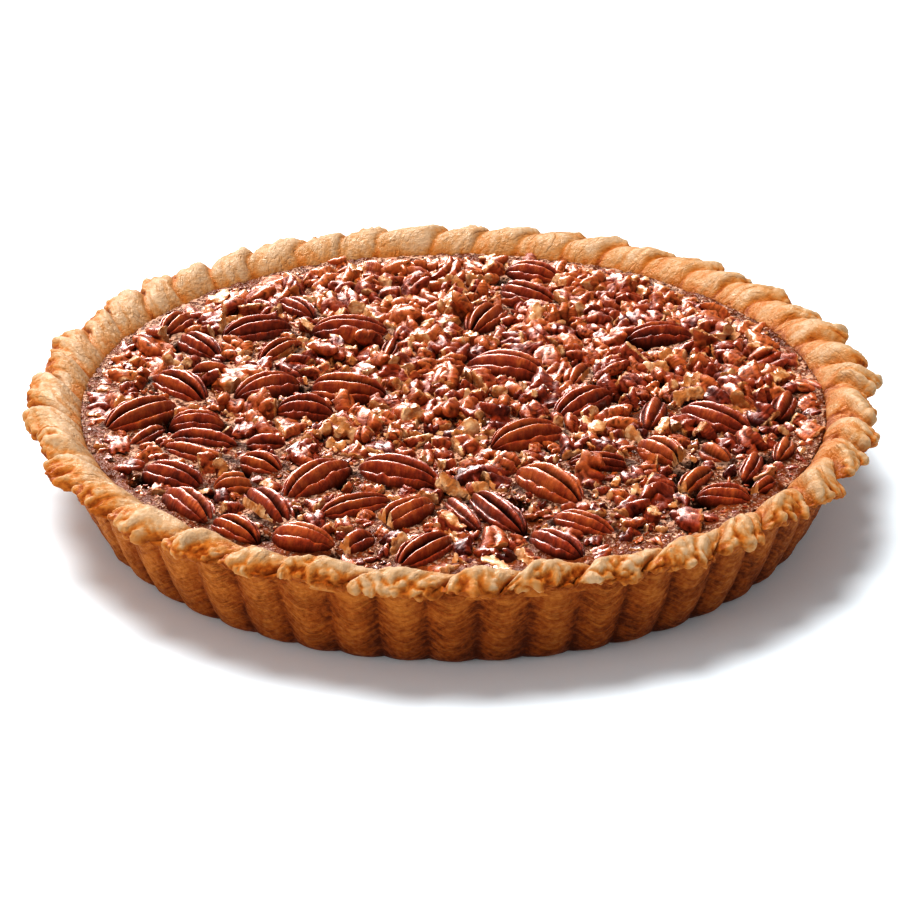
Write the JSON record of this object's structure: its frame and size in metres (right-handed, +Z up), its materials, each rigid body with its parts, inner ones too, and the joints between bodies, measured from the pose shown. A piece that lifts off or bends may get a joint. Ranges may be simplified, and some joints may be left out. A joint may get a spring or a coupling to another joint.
{
  "type": "pecan pie",
  "caption": "Whole round pecan pie: fluted pastry case with a crimped, browned rim, glossy caramel filling, pecan halves and chopped pecans on top.",
  "frame": {"origin": "middle of the flat underside", "axes": "+Z up; the pie is round about Z, with -Y the side where most whole halves lie"},
  "size_m": [0.2795, 0.2786, 0.0392],
  "materials": {
    "pastry": "baked short pastry, golden cream on the inner slopes, orange brown on the crimps' tips and the lower wall",
    "filling": "set caramel filling, dark glossy brown under a thin beige sugary foam crust with pinholes",
    "pecan": "roasted pecan skin, reddish brown, thinly glazed; cut faces cream to tan"
  },
  "bodies": {
    "root": {"crust": "pastry", "filling": "filling", "pecan_01": "pecan", "pecan_02": "pecan", "pecan_03": "pecan", "pecan_04": "pecan", "pecan_05": "pecan", "pecan_06": "pecan", "pecan_07": "pecan", "pecan_08": "pecan", "pecan_09": "pecan", "pecan_10": "pecan", "pecan_11": "pecan", "pecan_12": "pecan", "pecan_13": "pecan", "pecan_14": "pecan", "pecan_15": "pecan", "pecan_16": "pecan", "pecan_17": "pecan", "pecan_18": "pecan", "pecan_19": "pecan", "pecan_20": "pecan", "pecan_21": "pecan", "pecan_22": "pecan", "pecan_23": "pecan", "pecan_24": "pecan", "pecan_25": "pecan", "pecan_26": "pecan", "pecan_27": "pecan", "pecan_28": "pecan", "pecan_29": "pecan", "pecan_30": "pecan", "pecan_31": "pecan", "pecan_32": "pecan", "pecan_33": "pecan", "pecan_34": "pecan", "pecan_35": "pecan", "pecan_36": "pecan", "pecan_37": "pecan", "pecan_38": "pecan", "pecan_39": "pecan", "pecan_40": "pecan", "pecan_41": "pecan", "pecan_42": "pecan", "pecan_43": "pecan", "pecan_44": "pecan", "pecan_45": "pecan", "pecan_46": "pecan", "pecan_47": "pecan", "pecan_48": "pecan", "pecan_49": "pecan", "pecan_50": "pecan", "pecan_51": "pecan", "pecan_52": "pecan", "pecan_53": "pecan", "pecan_54": "pecan", "pecan_55": "pecan"}
  },
  "joints": []
}
